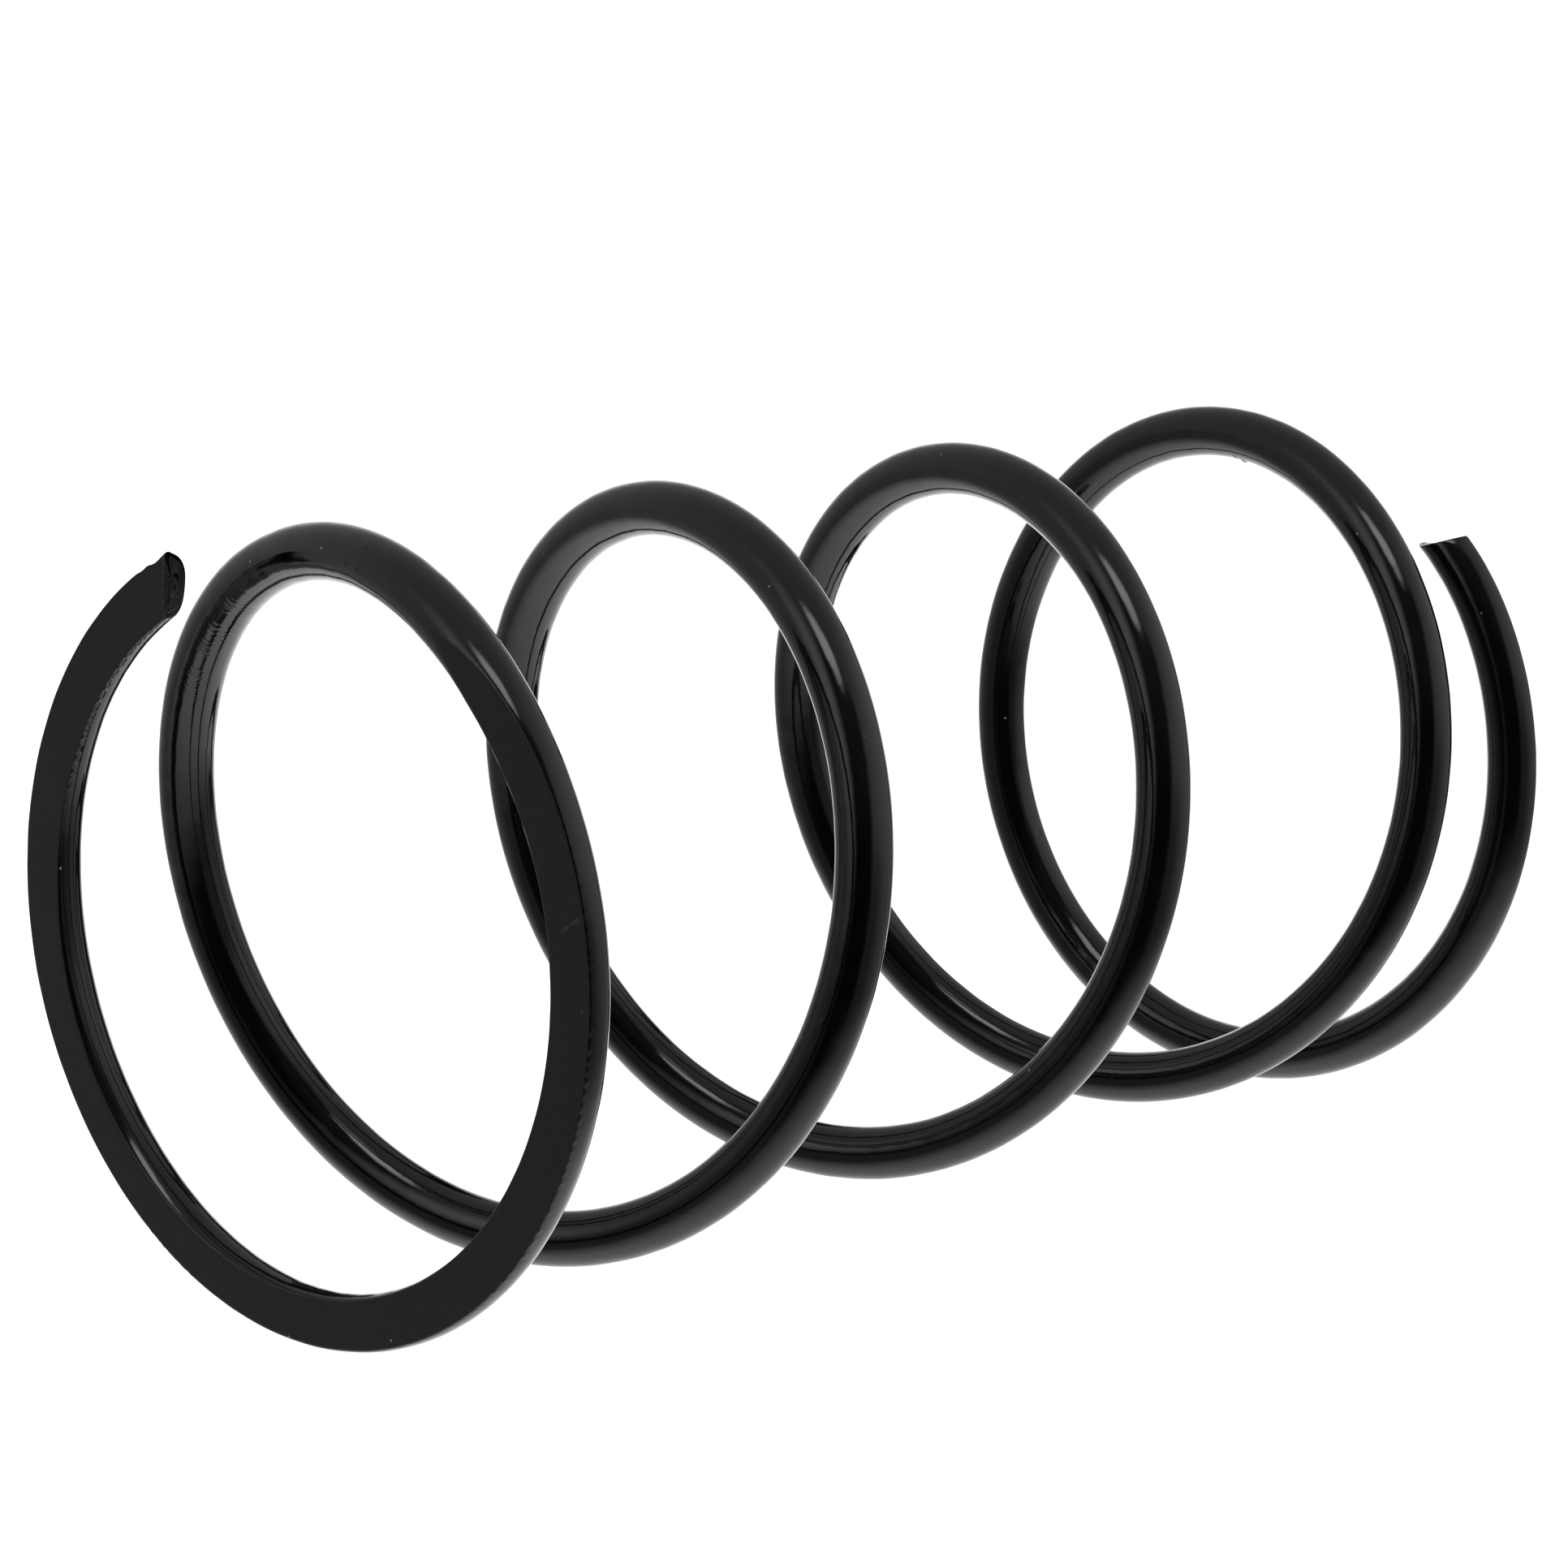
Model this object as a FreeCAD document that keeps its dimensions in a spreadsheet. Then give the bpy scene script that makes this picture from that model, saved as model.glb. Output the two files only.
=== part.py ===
"""Open coil compression spring for a vehicle suspension, wound left-handed from one round steel wire.

The spring stands on its ground lower end: +Z runs up the coil axis, and the origin is the centre of
the lower seat. The wire is one continuous bar, so it is held here as the stretches that behave
differently when the spring works: the two closed and ground end coils, which stay rigid, and the
open coils between them, cut by planes through the axis into short equal slices that move down one
after another as the spring is pressed.

Turns are counted along the wire from where a tip cut square would be, at local angle 0. The real
tips are cropped on a slant, a little before or after that place.
"""
import FreeCAD, Part
import math
import os

import Sketcher
from FreeCAD import Placement, Rotation, Vector

DRIVING_DIMENSIONS = {
    "wire_dia": 11.75,
    "mean_coil_dia": 148.0,
    "open_pitch": 94.8,
    "total_turns": 4.8,
    "end_coil_turns": 1.0,
    "slices_per_turn": 20,
    # Each end coil starts with the wire's centre this high above its seat plane, and lies almost
    # flat for part of a turn before it rises to the open pitch.
    "lower_tip_height": 0.7,
    "upper_tip_height": 1.1,
    "lower_seat_pitch": 3.0,
    "upper_seat_pitch": 1.9,
    "lower_rise_start": 0.63,
    "upper_rise_start": 0.70,
    "lower_rise_end": 1.0,
    "upper_rise_end": 0.92,
    # The almost flat part bows up between the tip and hump_end, so less of it is ground away.
    "lower_hump": 1.3,
    "upper_hump": 2.1,
    "hump_end": 0.6,
    # An end coil springs outward: fully from swell_in to swell_out, and not at all at its last turn.
    "lower_swell": 3.5,
    "upper_swell": 4.55,
    "lower_swell_in": 0.04,
    "upper_swell_in": 0.25,
    "lower_swell_out": 0.50,
    "upper_swell_out": 0.70,
    # The crop crosses the wire's centre this far past turn 0. One stroke parts one spring from the
    # next, so the two tips match: the lower one is long on its inner side, and the upper one short.
    "lower_crop_offset": -2.5,
    "upper_crop_offset": 5.8,
    "lower_crop_slant": 28.0,
    "upper_crop_slant": -28.0,
}
SPINE_POINTS_PER_TURN = 72
# An end coil starts to spring outward this far before turn 0, in metal that is cropped off.
SWELL_START = -0.1
# An end coil is swept this far beyond its crop and past its cutting plane, and then trimmed back.
SPINE_LEAD_TURNS = 0.015
SPINE_OVERRUN_TURNS = 0.02
# A cut that takes off less than this, in cubic millimetres, has missed the wire.
SMALLEST_CUT = 1.0

# How a sketch constraint names its geometry: the origin, and the points of a line or a circle.
ORIGIN, ORIGIN_POINT = -1, 1
HORIZONTAL_AXIS = -1
START_POINT, END_POINT, CENTRE_POINT = 1, 2, 3
# A bound constraint holds this length until its expression is worked out.
UNBOUND_LENGTH = 1.0

doc = FreeCAD.newDocument("coil_spring")
sheet = doc.addObject("Spreadsheet::Sheet", "Dimensions")


def write_cell(row, alias, number):
    """Give a number its own row of the sheet, and a name to call it by."""
    sheet.set(f"A{row}", alias)
    sheet.set(f"B{row}", str(number))
    sheet.setAlias(f"B{row}", alias)


def size(alias):
    """The number in the sheet's cell of that name."""
    return float(sheet.get(alias))


def origin_feature(body, role):
    """One of a body's own origin planes or axes, by its role."""
    return next(feature for feature in body.Origin.OriginFeatures if feature.Role == role)


def new_body(label):
    body = doc.addObject("PartDesign::Body", label)
    body.Label = label
    return body


def new_sketch(body, name, plane):
    sketch = body.newObject("Sketcher::SketchObject", name)
    sketch.AttachmentSupport = [(origin_feature(body, plane), "")]
    sketch.MapMode = "FlatFace"
    return sketch


def hold(sketch, kind, first, first_point, second, second_point, expression):
    """A distance between two points of a sketch, bound to an expression of the sheet."""
    constraint = Sketcher.Constraint(
        kind, first, first_point, second, second_point, UNBOUND_LENGTH
    )
    number = sketch.addConstraint(constraint)
    sketch.setExpression(f"Constraints[{number}]", expression)


def centre_on_mean_radius(sketch, index):
    """Put a circle's or an ellipse's centre level with the origin, on the coil's mean radius."""
    on_axis = Sketcher.Constraint("PointOnObject", index, CENTRE_POINT, HORIZONTAL_AXIS)
    sketch.addConstraint(on_axis)
    mean_radius = "Dimensions.mean_coil_dia / 2"
    hold(sketch, "DistanceX", ORIGIN, ORIGIN_POINT, index, CENTRE_POINT, mean_radius)


def draw_round_section(sketch):
    """The wire's section, centred on the coil's mean radius."""
    radius = size("mean_coil_dia") / 2
    circle = Part.Circle(Vector(radius, 0, 0), Vector(0, 0, 1), size("wire_dia") / 2)
    index = sketch.addGeometry(circle, False)
    centre_on_mean_radius(sketch, index)
    number = sketch.addConstraint(Sketcher.Constraint("Diameter", index, size("wire_dia")))
    sketch.setExpression(f"Constraints[{number}]", "Dimensions.wire_dia")


def draw_climbing_section(sketch):
    """The same round wire cut by a plane through the coil axis: taller, because the wire climbs."""
    radius = size("mean_coil_dia") / 2
    centre = Vector(radius, 0, 0)
    half_width = size("wire_dia") / 2
    half_height = half_width * climb_stretch()
    top = centre + Vector(0, half_height, 0)
    ellipse = Part.Ellipse(top, centre + Vector(half_width, 0, 0), centre)
    index = sketch.addGeometry(ellipse, False)
    sketch.exposeInternalGeometry(index)
    tall, wide = index + 1, index + 2
    centre_on_mean_radius(sketch, index)
    sketch.addConstraint(Sketcher.Constraint("Vertical", tall))
    slope = "Dimensions.open_pitch / (pi * Dimensions.mean_coil_dia)"
    for line, length in (
        (wide, "Dimensions.wire_dia"),
        (tall, f"Dimensions.wire_dia * sqrt(1 + ({slope})^2)"),
    ):
        number = sketch.addConstraint(Sketcher.Constraint("Distance", line, UNBOUND_LENGTH))
        sketch.setExpression(f"Constraints[{number}]", length)


def draw_outline(sketch, left, right, bottom_left, bottom_right, top):
    """A four-sided outline, upright at both sides and level on top; its lower side may slant."""
    corners = [Vector(1, 1, 0), Vector(2, 1, 0), Vector(2, 2, 0), Vector(1, 2, 0)]
    lines = [Part.LineSegment(corners[i], corners[(i + 1) % 4]) for i in range(4)]
    sides = [sketch.addGeometry(line, False) for line in lines]
    lower_side, right_side, upper_side, left_side = sides
    for i in range(4):
        joined = (sides[i], END_POINT, sides[(i + 1) % 4], START_POINT)
        sketch.addConstraint(Sketcher.Constraint("Coincident", *joined))
    sketch.addConstraint(Sketcher.Constraint("Vertical", right_side))
    sketch.addConstraint(Sketcher.Constraint("Horizontal", upper_side))
    sketch.addConstraint(Sketcher.Constraint("Vertical", left_side))
    hold(sketch, "DistanceX", ORIGIN, ORIGIN_POINT, lower_side, START_POINT, left)
    hold(sketch, "DistanceX", ORIGIN, ORIGIN_POINT, lower_side, END_POINT, right)
    hold(sketch, "DistanceY", ORIGIN, ORIGIN_POINT, lower_side, START_POINT, bottom_left)
    hold(sketch, "DistanceY", ORIGIN, ORIGIN_POINT, lower_side, END_POINT, bottom_right)
    hold(sketch, "DistanceY", ORIGIN, ORIGIN_POINT, upper_side, START_POINT, top)


def cut_away(body, sketch, name, depth, backwards):
    """Pocket the sketch out of the body, and make sure that this takes something away."""
    volume_before = body.Shape.Volume
    pocket = body.newObject("PartDesign::Pocket", name)
    pocket.Profile = sketch
    pocket.Reversed = backwards
    pocket.setExpression("Length", depth)
    doc.recompute()
    if pocket.Shape.isNull() or pocket.Shape.Volume > volume_before - SMALLEST_CUT:
        raise RuntimeError(f"{name} cut nothing off {body.Label}")


def climb_stretch():
    """How much taller than it is wide the open coils' section is, in a plane through the axis."""
    slope = size("open_pitch") / (math.pi * size("mean_coil_dia"))
    return math.sqrt(1 + slope**2)


def smooth_step(low, high, value):
    share = min(max((value - low) / (high - low), 0.0), 1.0)
    return share**2 * (3 - 2 * share)


def height_above_seat(turns, end):
    """Height of the wire's centre above its seat plane, that many turns from the tip."""
    seat_pitch = size(f"{end}_seat_pitch")
    start, stop = size(f"{end}_rise_start"), size(f"{end}_rise_end")
    share = min(max((turns - start) / (stop - start), 0.0), 1.0)
    # The pitch grows as 3 s^2 - 2 s^3 over the rise, so the height gains its integral.
    ramp = (stop - start) * (share**3 - share**4 / 2) + max(turns - stop, 0.0)
    bowed = min(max(turns / size("hump_end"), 0.0), 1.0)
    hump = size(f"{end}_hump") * math.sin(math.pi * bowed) ** 2
    flat_part = size(f"{end}_tip_height") + seat_pitch * turns + hump
    return flat_part + (size("open_pitch") - seat_pitch) * ramp


def coil_radius(turns, end):
    """Distance of the wire's centre from the coil axis, that many turns from the tip."""
    grown = smooth_step(SWELL_START, size(f"{end}_swell_in"), turns)
    gone = smooth_step(size(f"{end}_swell_out"), size("end_coil_turns"), turns)
    return size("mean_coil_dia") / 2 + size(f"{end}_swell") * grown * (1 - gone)


def centreline_point(turns, end):
    """A point on an end coil's centreline, in that coil's own frame. The hand is left."""
    angle = -2 * math.pi * turns
    radius = coil_radius(turns, end)
    return Vector(radius * math.cos(angle), radius * math.sin(angle), height_above_seat(turns, end))


def make_centreline(end):
    """The curve that the end coil's wire follows, from before its crop to past its cutting plane."""
    swept_turns = SPINE_LEAD_TURNS + size("end_coil_turns") + SPINE_OVERRUN_TURNS
    count = round(swept_turns * SPINE_POINTS_PER_TURN)
    stops = [swept_turns * i / count - SPINE_LEAD_TURNS for i in range(count + 1)]
    points = [centreline_point(turns, end) for turns in stops]
    curve = Part.BSplineCurve()
    curve.interpolate(points)
    centreline = doc.addObject("Part::Feature", f"{end}_centreline")
    centreline.Shape = Part.Wire([curve.toShape()])
    return centreline


def crop_tip(body, end):
    """Take off the wire past the slanted crop, but not the wire that passes high above it."""
    outline = new_sketch(body, f"{end}_crop_outline", "XY_Plane")
    outline.AttachmentOffset = Placement(Vector(0, 0, -size("wire_dia")), Rotation())
    fall = f"Dimensions.wire_dia * tan(Dimensions.{end}_crop_slant)"
    draw_outline(
        outline,
        "Dimensions.mean_coil_dia / 2 - Dimensions.wire_dia",
        "Dimensions.mean_coil_dia / 2 + Dimensions.wire_dia",
        f"{fall} - Dimensions.{end}_crop_offset",
        f"-({fall}) - Dimensions.{end}_crop_offset",
        "Dimensions.wire_dia",
    )
    doc.recompute()
    cut_away(body, outline, f"{end}_crop", "1.8 * Dimensions.wire_dia", True)


def make_end_coil(end):
    """A closed and ground end coil, standing on its seat with its cropped tip on +X."""
    body = new_body(f"{end}_end_coil")
    section = new_sketch(body, f"{end}_wire_section", "XZ_Plane")
    # The section stands at the sweep's start, where the coil has already swelled a little.
    turned = Rotation(Vector(0, 1, 0), 360 * SPINE_LEAD_TURNS)
    outward = coil_radius(-SPINE_LEAD_TURNS, end) - size("mean_coil_dia") / 2
    moved = turned.multVec(Vector(outward, height_above_seat(-SPINE_LEAD_TURNS, end), 0))
    section.AttachmentOffset = Placement(moved, turned)
    draw_round_section(section)
    doc.recompute()
    wire = body.newObject("PartDesign::AdditivePipe", f"{end}_wire")
    wire.Profile = section
    wire.Spine = (make_centreline(end), ["Edge1"])
    doc.recompute()

    # Trim the overrun back to the plane through the axis where the open coils take over. The
    # outline reaches one wire diameter each way from the wire's centre, clear of the tip below.
    trim = new_sketch(body, f"{end}_trim_outline", "XZ_Plane")
    trim_bottom = f"Dimensions.{end}_join_height - Dimensions.wire_dia"
    draw_outline(
        trim,
        "Dimensions.mean_coil_dia / 2 - Dimensions.wire_dia",
        "Dimensions.mean_coil_dia / 2 + Dimensions.wire_dia",
        trim_bottom,
        trim_bottom,
        f"Dimensions.{end}_join_height + Dimensions.wire_dia",
    )
    doc.recompute()
    cut_away(body, trim, f"{end}_trim", "2 * Dimensions.wire_dia", True)
    crop_tip(body, end)

    # Grind the seat: this takes off all that is below the seat plane.
    reach = "(Dimensions.mean_coil_dia / 2 + 2 * Dimensions.wire_dia)"
    outline = new_sketch(body, f"{end}_seat_outline", "XY_Plane")
    draw_outline(outline, f"-{reach}", reach, f"-{reach}", f"-{reach}", reach)
    doc.recompute()
    cut_away(body, outline, f"{end}_seat", "Dimensions.wire_dia", False)
    return body


def make_open_slice(number):
    """One short slice of the open coils, starting on the +X axis at its own height 0."""
    body = new_body(f"open_wire_{number:02d}")
    section = new_sketch(body, f"wire_section_{number:02d}", "XZ_Plane")
    draw_climbing_section(section)
    wire = body.newObject("PartDesign::AdditiveHelix", f"wire_{number:02d}")
    wire.Profile = section
    wire.ReferenceAxis = (origin_feature(body, "Z_Axis"), [""])
    wire.Mode = "pitch-turns-angle"
    wire.LeftHanded = True
    wire.setExpression("Pitch", "Dimensions.open_pitch")
    wire.setExpression("Turns", "1 / Dimensions.slices_per_turn")
    return body


def place(body, height, turns, upside_down=False):
    """Stand a sub-part at a height, turned to a number of turns along the left-handed wire."""
    turn = Rotation(Vector(0, 0, 1), -360 * turns)
    flip = Rotation(Vector(1, 0, 0), 180 if upside_down else 0)
    body.Placement = Placement(Vector(0, 0, height), turn * flip)


def check_document():
    for item in doc.Objects:
        if {"Invalid", "Error"} & set(item.State):
            raise RuntimeError(f"{item.Label} is {item.State}")


def check_shape(body):
    if body.Shape.isNull() or not body.Shape.isValid() or len(body.Shape.Solids) != 1:
        raise RuntimeError(f"{body.Label} is not one valid solid")


for row, (alias, number) in enumerate(DRIVING_DIMENSIONS.items(), start=1):
    write_cell(row, alias, number)
doc.recompute()
for row, end in enumerate(("lower", "upper"), start=len(DRIVING_DIMENSIONS) + 1):
    join_height = height_above_seat(size("end_coil_turns"), end)
    write_cell(row, f"{end}_join_height", round(join_height, 6))
doc.recompute()

open_turns = size("total_turns") - 2 * size("end_coil_turns")
slice_count = round(open_turns * size("slices_per_turn"))
slice_rise = size("open_pitch") / size("slices_per_turn")

lower_end_coil = make_end_coil("lower")
open_slices = [make_open_slice(number) for number in range(1, slice_count + 1)]
upper_end_coil = make_end_coil("upper")
doc.recompute()

for index, open_slice in enumerate(open_slices):
    turns_up = size("end_coil_turns") + index / size("slices_per_turn")
    place(open_slice, size("lower_join_height") + index * slice_rise, turns_up)
open_length = slice_count * slice_rise
free_length = size("lower_join_height") + open_length + size("upper_join_height")
place(upper_end_coil, free_length, size("total_turns"), upside_down=True)
doc.recompute()

check_document()
os.makedirs("parts", exist_ok=True)
for sub_part in [lower_end_coil, *open_slices, upper_end_coil]:
    check_shape(sub_part)
    sub_part.Shape.exportStep(f"parts/{sub_part.Label}.step")
print(f"free length {free_length:.2f} mm, {slice_count} slices of the open coils")
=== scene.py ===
"""Looks of an open coil compression spring in gloss black paint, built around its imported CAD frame.

The wire is one bar, so its skin is worked out as one long tube and then parted where the CAD model is
parted. A place on the wire is given by its turns, counted along the wire from the lower tip, and by its
angle round the wire: 0 faces straight outward from the coil axis, 90 up, 180 inward and 270 down.
"""

import math

import bpy
import numpy as np
from mathutils import Matrix, Vector


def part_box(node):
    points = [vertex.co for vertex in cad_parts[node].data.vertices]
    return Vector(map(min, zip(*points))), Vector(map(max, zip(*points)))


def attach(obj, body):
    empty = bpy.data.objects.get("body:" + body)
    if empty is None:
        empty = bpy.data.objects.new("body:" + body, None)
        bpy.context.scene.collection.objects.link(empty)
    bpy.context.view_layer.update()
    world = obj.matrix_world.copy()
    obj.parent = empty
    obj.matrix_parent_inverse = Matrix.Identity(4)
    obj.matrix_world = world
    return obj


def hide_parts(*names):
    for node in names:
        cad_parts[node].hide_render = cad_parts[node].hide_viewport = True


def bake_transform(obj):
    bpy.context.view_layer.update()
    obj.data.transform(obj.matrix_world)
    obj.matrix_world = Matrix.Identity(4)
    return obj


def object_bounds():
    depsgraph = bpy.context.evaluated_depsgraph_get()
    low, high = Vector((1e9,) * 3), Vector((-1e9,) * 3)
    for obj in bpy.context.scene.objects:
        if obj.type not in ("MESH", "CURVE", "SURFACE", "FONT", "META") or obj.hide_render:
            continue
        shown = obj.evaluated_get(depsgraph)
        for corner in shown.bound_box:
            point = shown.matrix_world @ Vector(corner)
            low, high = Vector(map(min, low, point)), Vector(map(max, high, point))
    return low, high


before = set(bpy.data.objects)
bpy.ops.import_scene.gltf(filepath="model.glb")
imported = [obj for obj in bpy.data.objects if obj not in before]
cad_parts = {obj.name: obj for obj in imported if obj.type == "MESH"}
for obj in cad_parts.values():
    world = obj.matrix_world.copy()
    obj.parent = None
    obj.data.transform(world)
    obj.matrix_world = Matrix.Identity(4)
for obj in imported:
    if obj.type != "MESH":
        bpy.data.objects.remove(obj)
cad_low, cad_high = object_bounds()

MM = 0.001

# ---------------------------------------------------------------- the wire's shape, as the CAD model has it
WIRE_RADIUS = 5.875 * MM
MEAN_RADIUS = 74 * MM
OPEN_PITCH = 94.8 * MM
END_TURNS = 1.0
OPEN_SLICES = sum(name.startswith("open_wire_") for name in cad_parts)
SLICES_PER_TURN = 20
TOTAL_TURNS = 2 * END_TURNS + OPEN_SLICES / SLICES_PER_TURN
FREE_LENGTH = cad_high.z

# Each end coil lies almost flat up to rise_start, with a low hump, and has climbed into the open pitch by
# rise_end. It springs outward by its swell from swell_in to swell_out. These four are in turns from the tip.
# The tip is cropped on a slant, in degrees, and the crop presses the wire in on one side.
LOWER_END = {
    "tip_height": 0.7 * MM,
    "seat_pitch": 3.0 * MM,
    "hump": 1.3 * MM,
    "rise_start": 0.63,
    "rise_end": 1.0,
    "swell": 3.5 * MM,
    "swell_in": 0.04,
    "swell_out": 0.50,
    "crop_offset": -2.5 * MM,
    "crop_slant": 27,
    "crop_hollow": 0.5 * MM,
    "pressed_side": 180,
    "pressed_in": 1.6 * MM,
    "pressed_reach": 18 * MM,
    "torn": 0.02 * MM,
    "face_bulge": -0.4 * MM,
}
UPPER_END = {
    "tip_height": 1.1 * MM,
    "seat_pitch": 1.9 * MM,
    "hump": 2.1 * MM,
    "rise_start": 0.70,
    "rise_end": 0.92,
    "swell": 4.55 * MM,
    "swell_in": 0.25,
    "swell_out": 0.70,
    "crop_offset": 5.8 * MM,
    "crop_slant": -29,
    "crop_hollow": 0.0,
    "pressed_side": 270,
    "pressed_in": 1.4 * MM,
    "pressed_reach": 4 * MM,
    "torn": 0.07 * MM,
    "face_bulge": 0.1 * MM,
}
HUMP_END = 0.6
SWELL_START = -0.1
CROP_REACH = 40 * MM
CENTRE_TOLERANCE = 0.1 * MM

# ---------------------------------------------------------------- how finely the skin is made
POINTS_ROUND_WIRE = 96
RINGS_PER_SLICE = 24
RINGS_PER_SCORED_SLICE = 150
SCORED_SLICES = 2
RINGS_PER_END = 960
EVENLY_SPACED = 0.25
SPACING_POWER = 1.25
CAP_RINGS = 12
CAP_SPACING_POWER = 1.5
SLOPE_STEP = 1e-4

# ---------------------------------------------------------------- how deep and how wide the marks are
SEED = 483
WAVE_HEIGHT = 0.012 * MM
PEEL_HEIGHT = 0.006 * MM
SCORE_DEPTH = 0.015 * MM
GROOVE_DEPTH = 0.035 * MM
GROOVE_WIDTH = 0.3 * MM
GROOVE_DEGREES = (158, 182)
FULL_MARK = 0.55

# The cropped tips.
CROP_EDGE_DROP = 0.16 * MM
CROP_EDGE_REACH = 0.25 * MM
TEAR_REACH = 0.6 * MM

# The ground seats: their painted edges, the lips that grinding leaves, and the beads beside the crop.
PAINTED_EDGE = 0.22 * MM
GROUND_BORDER = 0.1 * MM
LIP_WIDTH = 0.45 * MM
OUTER_LIP = 0.10 * MM
INNER_LIP = 0.16 * MM
BEAD_HEIGHT = 0.18 * MM
BEAD_REACH = 0.35 * MM

# The paint: the span of its roughness and of its black, how deep its relief is, and what lies in it.
PAINT_IOR = 1.5
GLOSS_ROUGHNESS = (0.07, 0.12)
GROUND_ROUGHNESS = (0.24, 0.34)
DUST_ROUGHNESS = 0.6
BLACK_SHADES = (0.0007, 0.0013)
DUST_SHADE = 0.09
PEEL_RELIEF = 0.020 * MM
DRAWN_RELIEF = 0.0035 * MM
GROUND_RELIEF = 0.012 * MM
DUST_RELIEF = 0.04 * MM
DUST_CELLS_PER_METRE = 210.0
DUSTY_CELLS = 0.07
HAIR_HALF_WIDTH = 0.12 * MM
HAIR_STRENGTH = 0.35
SCRAPE_HALF_WIDTH = 0.55 * MM
SCRAPE_STRENGTH = 0.16

# Nibs in the paint and nicks in the wire: turns, degrees round the wire, how far across, how high.
NIBS_AND_NICKS = (
    (0.884, 164, 0.9 * MM, 0.42 * MM),
    (0.879, 150, 0.6 * MM, 0.20 * MM),
    (0.5456, 176, 0.7 * MM, -0.30 * MM),
    (3.0530, 36, 0.6 * MM, -0.12 * MM),
    (3.0470, 40, 0.5 * MM, -0.10 * MM),
    (3.1610, 78, 0.6 * MM, 0.12 * MM),
    (3.1710, 108, 0.6 * MM, 0.12 * MM),
    (3.8920, 88, 0.5 * MM, 0.12 * MM),
    (3.9000, 44, 0.5 * MM, 0.12 * MM),
    (3.9010, 92, 0.5 * MM, 0.12 * MM),
    (3.9690, 70, 0.5 * MM, 0.12 * MM),
    (3.9780, 324, 0.5 * MM, 0.12 * MM),
    (4.7955, 2, 0.9 * MM, 0.50 * MM),
    (4.7880, 4, 1.5 * MM, -0.85 * MM),
    (4.7790, 6, 1.2 * MM, -0.30 * MM),
)


def smooth_step(low, high, value):
    share = np.clip((value - low) / (high - low), 0.0, 1.0)
    return share * share * (3 - 2 * share)


def height_above_seat(turns, end):
    """Height of the wire's centre above its own seat, that many turns from its tip."""
    start, stop = end["rise_start"], end["rise_end"]
    share = np.clip((turns - start) / (stop - start), 0.0, 1.0)
    ramp = (stop - start) * (share**3 - share**4 / 2) + np.maximum(turns - stop, 0.0)
    hump = end["hump"] * np.sin(np.pi * np.clip(turns / HUMP_END, 0.0, 1.0)) ** 2
    seated = end["tip_height"] + end["seat_pitch"] * turns + hump
    return seated + (OPEN_PITCH - end["seat_pitch"]) * ramp


def swell(turns, end):
    """How far an end coil springs outward, that many turns from its tip."""
    grown = smooth_step(SWELL_START, end["swell_in"], turns)
    return end["swell"] * grown * (1 - smooth_step(end["swell_out"], END_TURNS, turns))


def centre_radius(turns):
    from_top = TOTAL_TURNS - turns
    return MEAN_RADIUS + swell(turns, LOWER_END) + swell(from_top, UPPER_END)


def centre_height(turns):
    from_top = TOTAL_TURNS - turns
    joined = height_above_seat(END_TURNS, LOWER_END)
    climbing = joined + OPEN_PITCH * (turns - END_TURNS)
    lower = height_above_seat(np.minimum(turns, END_TURNS), LOWER_END)
    upper = FREE_LENGTH - height_above_seat(np.minimum(from_top, END_TURNS), UPPER_END)
    return np.where(turns < END_TURNS, lower, np.where(from_top < END_TURNS, upper, climbing))


def along_wire(turns):
    """Length along the wire from the lower tip, near enough for spacing marks."""
    return turns * math.hypot(2 * math.pi * MEAN_RADIUS, OPEN_PITCH)


def check_against_frame():
    """Stop if the skin's centreline has drifted from the CAD slices."""
    for number in range(1, OPEN_SLICES + 1):
        name = f"open_wire_{number:02d}"
        low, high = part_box(name)
        middle = END_TURNS + (number - 0.5) / SLICES_PER_TURN
        skin_height = float(centre_height(np.array(middle)))
        if abs((low.z + high.z) / 2 - skin_height) > CENTRE_TOLERANCE:
            raise RuntimeError(f"the skin and {name} don't agree")


# ---------------------------------------------------------------- marks in the surface
class Ripples:
    """A smooth random function of a place on the wire: a sum of sines that closes round the wire."""

    def __init__(self, seed, wavelength, around_waves, count=14):
        source = np.random.default_rng(SEED + seed)
        self.along = 2 * np.pi / (wavelength * source.uniform(0.6, 1.8, count))
        self.around = source.integers(-around_waves, around_waves + 1, count)
        self.phase = source.uniform(0, 2 * np.pi, count)
        self.scale = math.sqrt(2 / count)

    def __call__(self, length, angle):
        total = np.zeros(np.broadcast(length, angle).shape)
        for along, around, phase in zip(self.along, self.around, self.phase):
            total += np.sin(along * length + around * angle + phase)
        return total * self.scale


def angle_gap(angle, middle_degrees):
    """Signed distance round the wire, in radians, from an angle given in degrees."""
    return (angle - np.radians(middle_degrees) + np.pi) % (2 * np.pi) - np.pi


def stretch_window(turns, middle_turns, half_turns):
    """1 in the middle of a stretch of the wire, and 0 from its ends outward."""
    return 1 - smooth_step(FULL_MARK, 1.0, np.abs(turns - middle_turns) / half_turns)


def patch_window(turns, angle, middle_turns, half_turns, middle_degrees, half_degrees):
    """The same for a patch, which has edges round the wire too."""
    around = np.abs(angle_gap(angle, middle_degrees)) / math.radians(half_degrees)
    stretch = stretch_window(turns, middle_turns, half_turns)
    return stretch * (1 - smooth_step(FULL_MARK, 1.0, around))


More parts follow.
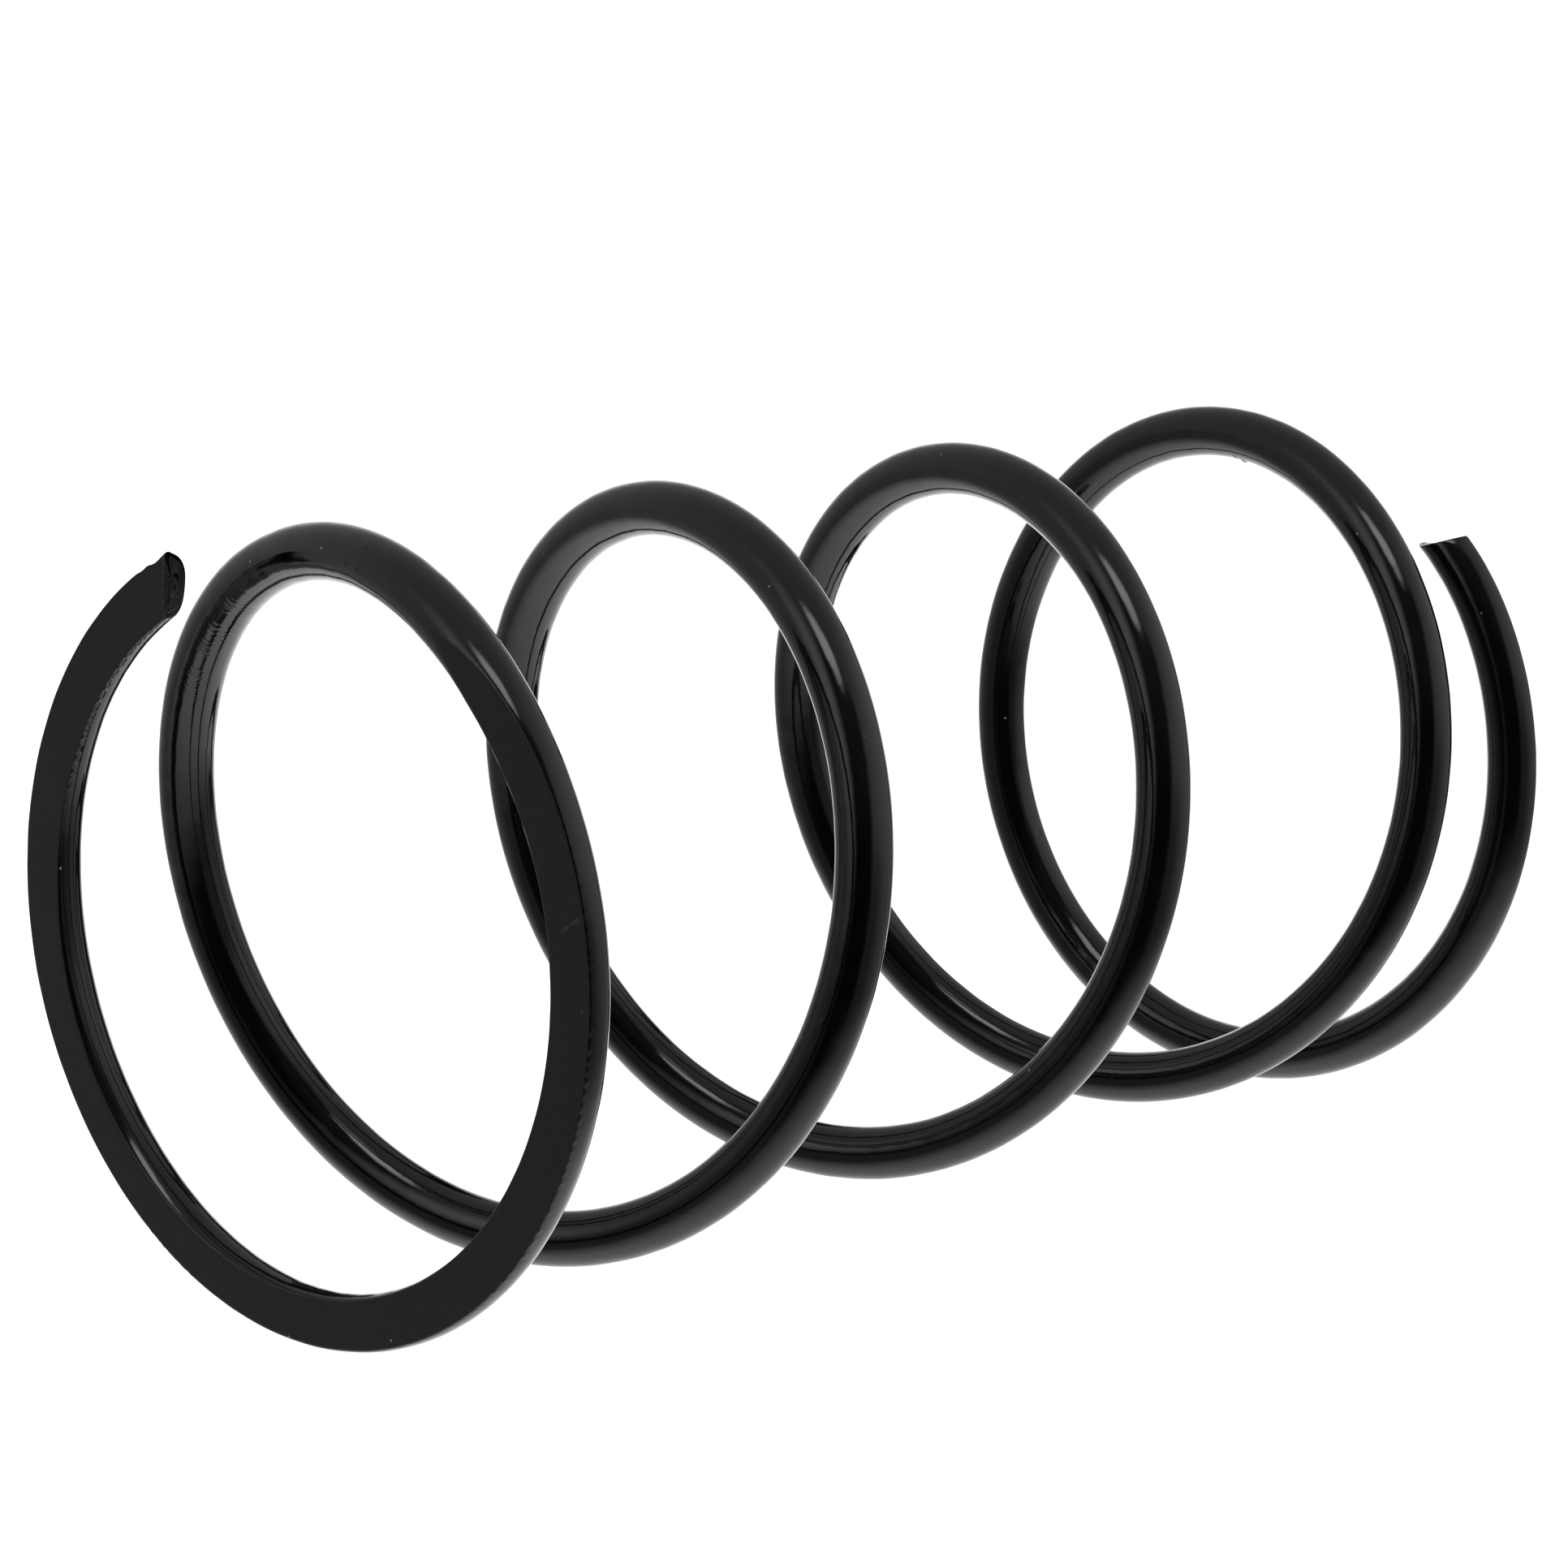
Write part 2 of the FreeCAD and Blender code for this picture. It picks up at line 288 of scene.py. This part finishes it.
def surface_lift(turns, angle):
    """How far the painted surface stands above the true round wire, in metres."""
    length = along_wire(turns)
    lift = WAVE_HEIGHT * Ripples(1, 22 * MM, 1)(length, angle)
    lift += PEEL_HEIGHT * Ripples(2, 7 * MM, 3)(length, angle)

    # The coiling tool has scored the inner side of the last open turn with cross marks.
    scored = patch_window(turns, angle, 3.750, 0.060, 138, 40)
    teeth = Ripples(3, 1.1 * MM, 1)(length, angle)
    patches = smooth_step(-1.0, 0.8, Ripples(4, 9 * MM, 2)(length, angle))
    lift -= SCORE_DEPTH * scored * patches * np.clip(teeth, 0, 1.5)

    # It also leaves two fine grooves along the wire there, which wander a few degrees.
    for middle_degrees in GROOVE_DEGREES:
        gap = angle_gap(angle, middle_degrees + 3 * np.sin(length / (60 * MM)))
        run = patch_window(turns, angle, 3.66, 0.14, middle_degrees, 40)
        lift -= GROOVE_DEPTH * run * np.exp(-((gap * WIRE_RADIUS / GROOVE_WIDTH) ** 2))

    for middle_turns, middle_degrees, across, height in NIBS_AND_NICKS:
        forward = along_wire(turns - middle_turns)
        sideways = angle_gap(angle, middle_degrees) * WIRE_RADIUS
        lift += height * np.exp(-(forward**2 + sideways**2) / across**2)
    return lift


def roll_over(from_tip, angle, end):
    """The crop presses the wire in on one side, and its edge is rounded and torn a little."""
    side = np.clip(np.cos(angle - math.radians(end["pressed_side"])), 0.0, 1.0) ** 2
    pressed = end["pressed_in"] * side * np.exp(-from_tip / end["pressed_reach"])
    rounding = CROP_EDGE_DROP * np.exp(-from_tip / CROP_EDGE_REACH)
    torn = end["torn"] * Ripples(5, 3 * MM, 5)(from_tip, angle) * np.exp(-from_tip / TEAR_REACH)
    return pressed + rounding + torn


def ground_burr(turns, angle, edge):
    """Grinding turns up a ragged lip in a few places along the upper seat's edges."""
    ragged = Ripples(7, 2.2 * MM, 0)(along_wire(turns), 0 * angle)
    outer = stretch_window(turns, 4.17, 0.14) + stretch_window(turns, 4.45, 0.02)
    inner = stretch_window(turns, 4.72, 0.07)
    lip = np.where(np.cos(angle) > 0, OUTER_LIP * outer, -INNER_LIP * inner)
    return edge * lip * np.clip(ragged, -0.4, 1.6)


def soft_floor(height):
    """Grind away what is below 0, and leave a small painted radius on the edge."""
    return (height + np.sqrt(height**2 + PAINTED_EDGE**2)) / 2


def crop_shift(from_tip, angle, end):
    """How far the skin is slid along the wire near a tip, to bring its last ring into the slanted crop."""
    across = swell(0.0, end) + WIRE_RADIUS * np.cos(angle)
    line = end["crop_offset"] + math.tan(math.radians(end["crop_slant"])) * across
    line = line + end["crop_hollow"] * np.sin(angle) ** 2
    return line * (1 - smooth_step(0.0, CROP_REACH, from_tip))


def wire_points(turns, angle):
    """Points of the skin for some turns and angles, and how far each one lies in a ground face, 0 to 1."""
    angle = angle[None, :]
    from_low_tip = along_wire(turns)[:, None]
    from_high_tip = along_wire(TOTAL_TURNS - turns)[:, None]
    round_trip = 2 * np.pi * MEAN_RADIUS
    turns = turns[:, None] + crop_shift(from_low_tip, angle, LOWER_END) / round_trip
    turns = turns - crop_shift(from_high_tip, angle, UPPER_END) / round_trip

    radius = centre_radius(turns)
    middle = centre_height(turns)
    climbed = centre_height(turns + SLOPE_STEP) - centre_height(turns - SLOPE_STEP)
    rise = climbed / (2 * SLOPE_STEP * 2 * np.pi * radius)
    section = WIRE_RADIUS + surface_lift(turns, angle)
    section = section - roll_over(from_low_tip, angle, LOWER_END)
    section = section - roll_over(from_high_tip, angle, UPPER_END)
    outward = section * np.cos(angle)
    upward = section * np.sin(angle) * np.sqrt(1 + rise**2)

    ground = np.zeros(outward.shape)
    height = middle + upward
    for seat, into_spring, near in (
        (0.0, 1, turns < TOTAL_TURNS / 2),
        (FREE_LENGTH, -1, turns > TOTAL_TURNS / 2),
    ):
        clear = into_spring * (height - seat)
        height = np.where(near, seat + into_spring * soft_floor(clear), height)
        ground = np.where(near, smooth_step(GROUND_BORDER, -GROUND_BORDER, clear), ground)
        edge = np.exp(-((clear / LIP_WIDTH) ** 2))
        outward = outward + np.where(near, ground_burr(turns, angle, edge), 0)

    # Where the crop meets the upper seat it leaves a row of small beads.
    beads = np.clip(Ripples(6, 1.3 * MM, 0)(outward, 0 * angle), 0.0, 1.5)
    near_tip = np.exp(-((from_high_tip / BEAD_REACH) ** 2))
    height = height + BEAD_HEIGHT * beads * ground * near_tip

    heading = -2 * np.pi * turns
    across = radius + outward
    points = np.stack([across * np.cos(heading), across * np.sin(heading), height], axis=-1)
    return points, ground


def rings_in_slice(number):
    """The last open slices carry the coiling tool's fine marks, so they have more rings."""
    scored = number > OPEN_SLICES - SCORED_SLICES
    return RINGS_PER_SCORED_SLICE if scored else RINGS_PER_SLICE


def ring_turns():
    """Turns of every ring of the skin, closer together towards the tips."""
    share = np.linspace(0.0, 1.0, RINGS_PER_END + 1)
    eased = EVENLY_SPACED * share + (1 - EVENLY_SPACED) * share**SPACING_POWER
    end_turns = END_TURNS * eased
    rows = [end_turns]
    for number in range(1, OPEN_SLICES + 1):
        first = END_TURNS + (number - 1) / SLICES_PER_TURN
        last = END_TURNS + number / SLICES_PER_TURN
        rows.append(np.linspace(first, last, rings_in_slice(number) + 1)[1:])
    rows.append(TOTAL_TURNS - end_turns[::-1][1:])
    return np.concatenate(rows)


def grid_normals(points):
    """Outward normals of a tube's points, from their neighbours along and round the wire."""
    along = np.gradient(points, axis=0)
    around = np.roll(points, -1, axis=1) - np.roll(points, 1, axis=1)
    normals = np.cross(around, along)
    return normals / np.linalg.norm(normals, axis=-1, keepdims=True)


# ---------------------------------------------------------------- from points to pieces
def tip_cap(ring, outward, end):
    """Rings that close a cropped tip with a sheared face, which bulges or is hollow, and is a little torn.

    The bulge and the tear are nothing at the rim, and the tear has its full depth nearer to it."""
    middle = ring.mean(axis=0)
    angle = np.linspace(0, 2 * np.pi, len(ring), endpoint=False)
    rings = []
    for step in range(1, CAP_RINGS + 1):
        share = 1 - (step / (CAP_RINGS + 1)) ** CAP_SPACING_POWER
        depth = share * WIRE_RADIUS
        tear = Ripples(9, 2.4 * MM, 3)(depth, angle)
        lift = end["face_bulge"] * (1 - share**4) + end["torn"] * tear * (1 - share**8)
        rings.append(middle + (ring - middle) * share + outward * lift[:, None])
    centre = middle + outward * end["face_bulge"]
    return rings, centre


def flat_cap(ring):
    """The plane face where one piece of the wire meets the next."""
    return [], ring.mean(axis=0)


def build_piece(name, points, normals, marks, caps):
    """A closed tube from rings of points. caps is a (rings, centre) pair for each end."""
    count, around = points.shape[:2]
    vertices = [points.reshape(-1, 3)]
    vertex_marks = [marks.reshape(-1, marks.shape[-1])]
    faces = []
    column = np.arange(around)
    following = (column + 1) % around
    for ring in range(count - 1):
        low, high = ring * around, (ring + 1) * around
        faces += list(zip(low + column, low + following, high + following, high + column))
    side_faces = len(faces)
    total = count * around
    for end, (rings, centre) in enumerate(caps):
        base = column if end == 0 else (count - 1) * around + column
        end_marks = marks[0 if end == 0 else -1]
        for cap_ring in rings:
            fresh = total + column
            vertices.append(cap_ring)
            vertex_marks.append(end_marks)
            faces += _band(base, fresh, end)
            base, total = fresh, total + around
        vertices.append(centre[None, :])
        vertex_marks.append(end_marks.mean(axis=0, keepdims=True))
        hub = np.full(around, total)
        total += 1
        rolled = np.roll(base, -1)
        order = (hub, rolled, base) if end == 0 else (hub, base, rolled)
        faces += list(zip(*order))
    mesh = bpy.data.meshes.new(name)
    mesh.from_pydata(np.concatenate(vertices), [], [tuple(map(int, face)) for face in faces])
    mesh.update()
    _write_marks(mesh, np.concatenate(vertex_marks))
    _set_normals(mesh, normals.reshape(-1, 3), side_faces)
    piece = bpy.data.objects.new(name, mesh)
    bpy.context.scene.collection.objects.link(piece)
    return piece


def _band(base, fresh, end):
    """Quads between two rings of a cap, facing out of the wire's end."""
    base_next, fresh_next = np.roll(base, -1), np.roll(fresh, -1)
    if end == 0:
        return list(zip(base, fresh, fresh_next, base_next))
    return list(zip(base, base_next, fresh_next, fresh))


def _write_marks(mesh, marks):
    """Each vertex keeps its place along and round the wire, and how ground it is, for the paint."""
    place = mesh.attributes.new("wire_place", "FLOAT_VECTOR", "POINT")
    place.data.foreach_set("vector", marks[:, :3].astype(np.float32).ravel())
    layer = mesh.attributes.new("ground", "FLOAT", "POINT")
    layer.data.foreach_set("value", marks[:, 3].astype(np.float32))


def _set_normals(mesh, normals, side_faces):
    """Smooth side faces take the whole tube's normals, so no seam shows where pieces meet."""
    corner_vertex = np.zeros(len(mesh.loops), np.int32)
    mesh.loops.foreach_get("vertex_index", corner_vertex)
    corner_normals = np.zeros((len(mesh.loops), 3), np.float32)
    side_corners = side_faces * 4
    corner_normals[:side_corners] = normals[corner_vertex[:side_corners]]
    mesh.shade_smooth()
    mesh.normals_split_custom_set([tuple(map(float, normal)) for normal in corner_normals])


# ---------------------------------------------------------------- shader nodes
class Nodes:
    """A short way to write node trees. Each call makes a node, wires its inputs and returns its output."""

    def __init__(self, tree):
        self.tree = tree
        tree.nodes.clear()

    def make(self, kind, inputs=(), output=0, **settings):
        node = self.tree.nodes.new(kind)
        for name, value in settings.items():
            setattr(node, name, value)
        for key, value in dict(inputs).items():
            if isinstance(value, bpy.types.NodeSocket):
                self.tree.links.new(value, node.inputs[key])
            else:
                node.inputs[key].default_value = value
        return node.outputs[output] if node.outputs else None

    def math(self, operation, *values):
        return self.make("ShaderNodeMath", enumerate(values), operation=operation)

    def dot(self, vector, direction):
        inputs = {0: vector, 1: tuple(direction)}
        return self.make("ShaderNodeVectorMath", inputs, output="Value", operation="DOT_PRODUCT")

    def step(self, value, low, high, start=0.0, end=1.0):
        """start below low, end above high, and a smooth change between."""
        inputs = {"Value": value, "From Min": low, "From Max": high, "To Min": start, "To Max": end}
        return self.make("ShaderNodeMapRange", inputs, interpolation_type="SMOOTHSTEP")

    def mix(self, share, first, second):
        """A blend of two numbers."""
        inputs = {0: share, 2: first, 3: second}
        return self.make("ShaderNodeMix", inputs, data_type="FLOAT", clamp_factor=True)

    def noise(self, place, scale, detail=2.0, roughness=0.5, output="Fac"):
        inputs = {"Vector": place, "Scale": scale, "Detail": detail, "Roughness": roughness}
        return self.make("ShaderNodeTexNoise", inputs, output=output)

    def stretch(self, place, scale):
        return self.make("ShaderNodeMapping", {"Vector": place, "Scale": scale})


def streak(n, place, start, end, half_width):
    """1 along a straight mark between two places on the wire, and 0 from its half width outward."""
    along = Vector(end) - Vector(start)
    offset = n.make("ShaderNodeVectorMath", {0: place, 1: tuple(start)}, operation="SUBTRACT")
    share = n.math("DIVIDE", n.dot(offset, along), along.length_squared)
    share = n.math("MINIMUM", n.math("MAXIMUM", share, 0.0), 1.0)
    nearest = n.make("ShaderNodeVectorMath", {0: tuple(along), 3: share}, operation="SCALE")
    aside = n.make("ShaderNodeVectorMath", {0: offset, 1: nearest}, operation="SUBTRACT")
    gap = n.make("ShaderNodeVectorMath", {0: aside}, output="Value", operation="LENGTH")
    return n.step(gap, 0.4 * half_width, half_width, 1.0, 0.0)


def place_on_wire(turns, degrees):
    """The wire_place of a point given by its turns and its angle round the wire."""
    angle = math.radians(degrees)
    return along_wire(turns), WIRE_RADIUS * math.cos(angle), WIRE_RADIUS * math.sin(angle)


def paint_material():
    """Gloss black paint over the wire, and a duller, finely pitted coat of it over the ground faces."""
    material = bpy.data.materials.new("gloss_black_paint")
    material.use_nodes = True
    n = Nodes(material.node_tree)
    place = n.make("ShaderNodeAttribute", output="Vector", attribute_name="wire_place")
    ground = n.make("ShaderNodeAttribute", output="Fac", attribute_name="ground")

    # Orange peel, drawing lines along the wire, pits in the ground faces, and slow changes of gloss.
    peel = n.noise(place, 420.0, 2.0)
    drawn = n.noise(n.stretch(place, (12.0, 1500.0, 1500.0)), 1.0, 3.0)
    mottle = n.noise(place, 900.0, 4.0, 0.65)
    cloud = n.noise(place, 60.0, 3.0)

    # Dust: a pale grain is held in the paint in a few of these cells.
    cells = {"Vector": place, "Scale": DUST_CELLS_PER_METRE, "Randomness": 1.0}
    from_grain, cell_colour = (
        n.make("ShaderNodeTexVoronoi", cells, output=output) for output in ("Distance", "Color")
    )
    chance = n.make("ShaderNodeSeparateColor", {0: cell_colour})
    chosen = n.step(chance, 1 - DUSTY_CELLS, 1.01 - DUSTY_CELLS)
    dust = n.math("MULTIPLY", chosen, n.step(from_grain, 0.035, 0.075, 1.0, 0.0))

    # A hair lies on the paint, and the upper seat has a broken scrape across it.
    hair_ends = place_on_wire(3.0430, 22), place_on_wire(3.0470, -4)
    hair = streak(n, place, *hair_ends, HAIR_HALF_WIDTH)
    scrape_start = along_wire(4.0943), -1.1 * MM, 0.0
    scrape_end = along_wire(4.0900), 4.0 * MM, 0.0
    flattened = n.make("ShaderNodeVectorMath", {0: place, 1: (1, 1, 0)}, operation="MULTIPLY")
    scrape = streak(n, flattened, scrape_start, scrape_end, SCRAPE_HALF_WIDTH)
    scrape = n.math("MULTIPLY", n.math("MULTIPLY", scrape, ground), n.step(mottle, 0.42, 0.56))
    dust = n.math("MAXIMUM", dust, n.math("MULTIPLY", hair, HAIR_STRENGTH))
    dust = n.math("MAXIMUM", dust, n.math("MULTIPLY", scrape, SCRAPE_STRENGTH))

    gloss = n.step(cloud, 0.3, 0.7, *GLOSS_ROUGHNESS)
    ground_gloss = n.step(mottle, 0.3, 0.7, *GROUND_ROUGHNESS)
    roughness = n.mix(dust, n.mix(ground, gloss, ground_gloss), DUST_ROUGHNESS)
    shade = n.mix(dust, n.step(cloud, 0.3, 0.7, *BLACK_SHADES), DUST_SHADE)
    colour = n.make("ShaderNodeCombineColor", {0: shade, 1: shade, 2: shade})

    relief = n.math("MULTIPLY", peel, PEEL_RELIEF)
    relief = n.math("MULTIPLY_ADD", drawn, DRAWN_RELIEF, relief)
    relief = n.math("MULTIPLY_ADD", n.math("MULTIPLY", mottle, ground), GROUND_RELIEF, relief)
    relief = n.math("MULTIPLY_ADD", dust, DUST_RELIEF, relief)
    normal = n.make("ShaderNodeBump", {"Height": relief, "Distance": 1.0, "Strength": 1.0})

    inputs = {"Base Color": colour, "Roughness": roughness, "IOR": PAINT_IOR, "Normal": normal}
    surface = n.make("ShaderNodeBsdfPrincipled", inputs)
    n.make("ShaderNodeOutputMaterial", {"Surface": surface})
    return material


# ---------------------------------------------------------------- camera and studio
# The camera looks down on the standing spring from its upper end with a long lens. It is rolled, so that the
# coil axis lies across the picture. It was fitted to the photo's outline of the spring.
CAMERA_PLACE = Vector((0.66906, -0.33822, 0.93197))
CAMERA_RIGHT = Vector((0.53385, -0.49654, -0.68443))
CAMERA_DOWN = Vector((-0.57710, -0.80556, 0.13429))
CAMERA_LENS = 113.05
SENSOR_WIDTH = 36.0

# How bright the parts of the studio are, where 1 is white. DIM_SHARE is how far its dim side has gone to
# DIM_LIGHT.
WALL_LIGHT = 0.38
WALL_GLOW = 0.40
TABLE_LIGHT = 1.22
DIM_LIGHT = 0.10
DIM_SHARE = 0.72
STAND_LIGHT = (0.008, 0.085)
WINDOW_LIGHT = 0.80
STRIP_LIGHT = 3.4
BACKLIGHT = 1.5
SOFT_LIGHT = 1.6

FLOOR_REACH = 6.0
FLOOR_STEPS = 12
FLOOR_WHITE = 0.86
FLOOR_GLOW = 1.5


def camera_axes():
    right = CAMERA_RIGHT.normalized()
    up = (-CAMERA_DOWN - right * right.dot(-CAMERA_DOWN)).normalized()
    return right, up, right.cross(up)


def add_camera():
    right, up, back = camera_axes()
    data = bpy.data.cameras.new("photo_view")
    data.lens = CAMERA_LENS
    data.sensor_width = SENSOR_WIDTH
    data.clip_start, data.clip_end = 0.05, 20.0
    camera = bpy.data.objects.new("photo_view", data)
    turn = Matrix((right, up, back)).transposed()
    camera.matrix_world = Matrix.Translation(CAMERA_PLACE) @ turn.to_4x4()
    bpy.context.scene.collection.objects.link(camera)
    bpy.context.scene.camera = camera


def studio_brightness(n, direction):
    """Brightness of the studio in a direction, charted in degrees away from the camera's own place.

    sideways grows to the picture's right and upward to its top. The spring sits over a bright table, between
    pale walls, with a strip light above the camera, a window to its left, and the dark camera stand."""
    right, up, back = camera_axes()
    x, y, z = (n.dot(direction, axis) for axis in (right, up, back))
    away = n.math("MULTIPLY", n.math("ARCCOSINE", z), 180 / math.pi)
    flat = n.math("SQRT", n.math("ADD", n.math("MULTIPLY", x, x), n.math("MULTIPLY", y, y)))
    scale = n.math("DIVIDE", away, n.math("MAXIMUM", flat, 1e-4))
    sideways = n.math("MULTIPLY", x, scale)
    upward = n.math("MULTIPLY", y, scale)

    def lobe(middle_x, middle_y, half_x, half_y, inner=0.0):
        """1 in the inner share of an oval on the chart, and 0 from its edge outward."""
        dx = n.math("DIVIDE", n.math("SUBTRACT", sideways, middle_x), half_x)
        dy = n.math("DIVIDE", n.math("SUBTRACT", upward, middle_y), half_y)
        reach = n.math("SQRT", n.math("MULTIPLY_ADD", dx, dx, n.math("MULTIPLY", dy, dy)))
        return n.step(reach, inner, 1.0, 1.0, 0.0)

    walls = n.math("MULTIPLY_ADD", lobe(78, 35, 70, 75), WALL_GLOW, WALL_LIGHT)
    table = n.step(upward, -36, -84)
    light = n.mix(table, walls, TABLE_LIGHT)

    # Below and to both sides of the camera the studio is dim, and right in front of it almost black.
    dim = n.math("MULTIPLY", n.step(upward, -52, -34), n.step(upward, 18, -8))
    dim = n.math("MULTIPLY", dim, n.step(sideways, 50, 95, 1.0, 0.0))
    dim = n.math("MULTIPLY", dim, n.step(sideways, -140, -60))
    light = n.mix(n.math("MULTIPLY", dim, DIM_SHARE), light, DIM_LIGHT)
    across = n.step(n.math("ABSOLUTE", n.math("ADD", sideways, 2)), 24, 42, 1.0, 0.0)
    upright = n.math("MULTIPLY", n.step(upward, -46, -26), n.step(upward, 57, 45))
    stand = n.math("MULTIPLY", across, upright)
    black = n.step(upward, 5, 35, *STAND_LIGHT)
    light = n.mix(stand, light, black)

    window = lobe(-55, 27, 30, 36)
    light = n.math("MULTIPLY_ADD", window, WINDOW_LIGHT, light)
    strip = lobe(-8, 56, 23, 12, 0.45)
    light = n.math("MULTIPLY_ADD", strip, STRIP_LIGHT, light)
    return n.mix(n.step(away, 138, 170), light, BACKLIGHT)


def add_studio():
    """A light tent: pure white to the camera, even for soft shadows, and charted for reflections."""
    world = bpy.data.worlds.new("studio")
    bpy.context.scene.world = world
    world.use_nodes = True
    n = Nodes(world.node_tree)
    direction = n.make("ShaderNodeTexCoord", output="Generated")
    charted = studio_brightness(n, direction)
    path = world.node_tree.nodes.new("ShaderNodeLightPath")
    even = n.mix(path.outputs["Is Diffuse Ray"], charted, SOFT_LIGHT)
    strength = n.mix(path.outputs["Is Camera Ray"], even, 1.0)
    background = n.make("ShaderNodeBackground", {"Color": (1, 1, 1, 1), "Strength": strength})
    n.make("ShaderNodeOutputWorld", {"Surface": background})


def add_floor():
    """A white floor under the lower seat. It glows, so that it looks as white as the room behind it."""
    row = FLOOR_STEPS + 1
    grid = np.linspace(-FLOOR_REACH, FLOOR_REACH, row)
    vertices = [(x, y, 0.0) for y in grid for x in grid]
    faces = [
        (y * row + x, y * row + x + 1, (y + 1) * row + x + 1, (y + 1) * row + x)
        for y in range(FLOOR_STEPS)
        for x in range(FLOOR_STEPS)
    ]
    mesh = bpy.data.meshes.new("floor")
    mesh.from_pydata(vertices, [], faces)
    floor = bpy.data.objects.new("floor", mesh)
    bpy.context.scene.collection.objects.link(floor)
    floor.visible_glossy = False

    material = bpy.data.materials.new("white_floor")
    material.use_nodes = True
    n = Nodes(material.node_tree)
    white = n.make("ShaderNodeBsdfDiffuse", {"Color": (FLOOR_WHITE, FLOOR_WHITE, FLOOR_WHITE, 1)})
    glow = n.make("ShaderNodeEmission", {"Color": (1, 1, 1, 1), "Strength": FLOOR_GLOW})
    place = n.make("ShaderNodeNewGeometry", output="Position")
    distance = n.make("ShaderNodeVectorMath", {0: place}, output="Value", operation="LENGTH")
    far = n.step(distance, 0.45, 1.4, 0.55, 1.0)
    surface = n.make("ShaderNodeMixShader", {0: far, 1: white, 2: glow})
    n.make("ShaderNodeOutputMaterial", {"Surface": surface})
    mesh.materials.append(material)


# ---------------------------------------------------------------- the spring
def build_spring():
    """Work out the whole skin, and part it into the two end coils and the slices between them."""
    turns = ring_turns()
    angle = np.linspace(0, 2 * np.pi, POINTS_ROUND_WIRE, endpoint=False)
    points, ground = wire_points(turns, angle)
    normals = grid_normals(points)
    length = np.broadcast_to(along_wire(turns)[:, None], ground.shape)
    across = np.broadcast_to(WIRE_RADIUS * np.cos(angle), ground.shape)
    over = np.broadcast_to(WIRE_RADIUS * np.sin(angle), ground.shape)
    marks = np.stack([length, across, over, ground], axis=-1)
    paint = paint_material()

    def cut(name, first, last, caps):
        rings = slice(first, last + 1)
        piece = build_piece(name, points[rings], normals[rings], marks[rings], caps)
        piece.data.materials.append(paint)
        return piece

    def heading_out(ring, back):
        """The level direction in which the wire would run on past a tip."""
        away = (points[ring] - points[ring + back]).mean(axis=0)
        away[2] = 0.0
        return away / np.linalg.norm(away)

    first_seam = RINGS_PER_END
    last_ring = len(turns) - 1
    last_seam = last_ring - RINGS_PER_END

    lower_tip = tip_cap(points[0], heading_out(0, 1), LOWER_END)
    lower = cut("lower_end_skin", 0, first_seam, [lower_tip, flat_cap(points[first_seam])])
    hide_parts("lower_end_coil")
    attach(lower, "lower_end_coil")

    first = first_seam
    for number in range(1, OPEN_SLICES + 1):
        last = first + rings_in_slice(number)
        caps = [flat_cap(points[first]), flat_cap(points[last])]
        piece = cut(f"open_wire_skin_{number:02d}", first, last, caps)
        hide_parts(f"open_wire_{number:02d}")
        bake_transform(piece)
        first = last

    upper_tip = tip_cap(points[last_ring], heading_out(last_ring, -1), UPPER_END)
    upper = cut("upper_end_skin", last_seam, last_ring, [flat_cap(points[last_seam]), upper_tip])
    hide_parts("upper_end_coil")
    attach(upper, "upper_end_coil")


check_against_frame()
build_spring()
add_studio()
add_floor()
add_camera()
bpy.context.scene.view_settings.view_transform = "Standard"
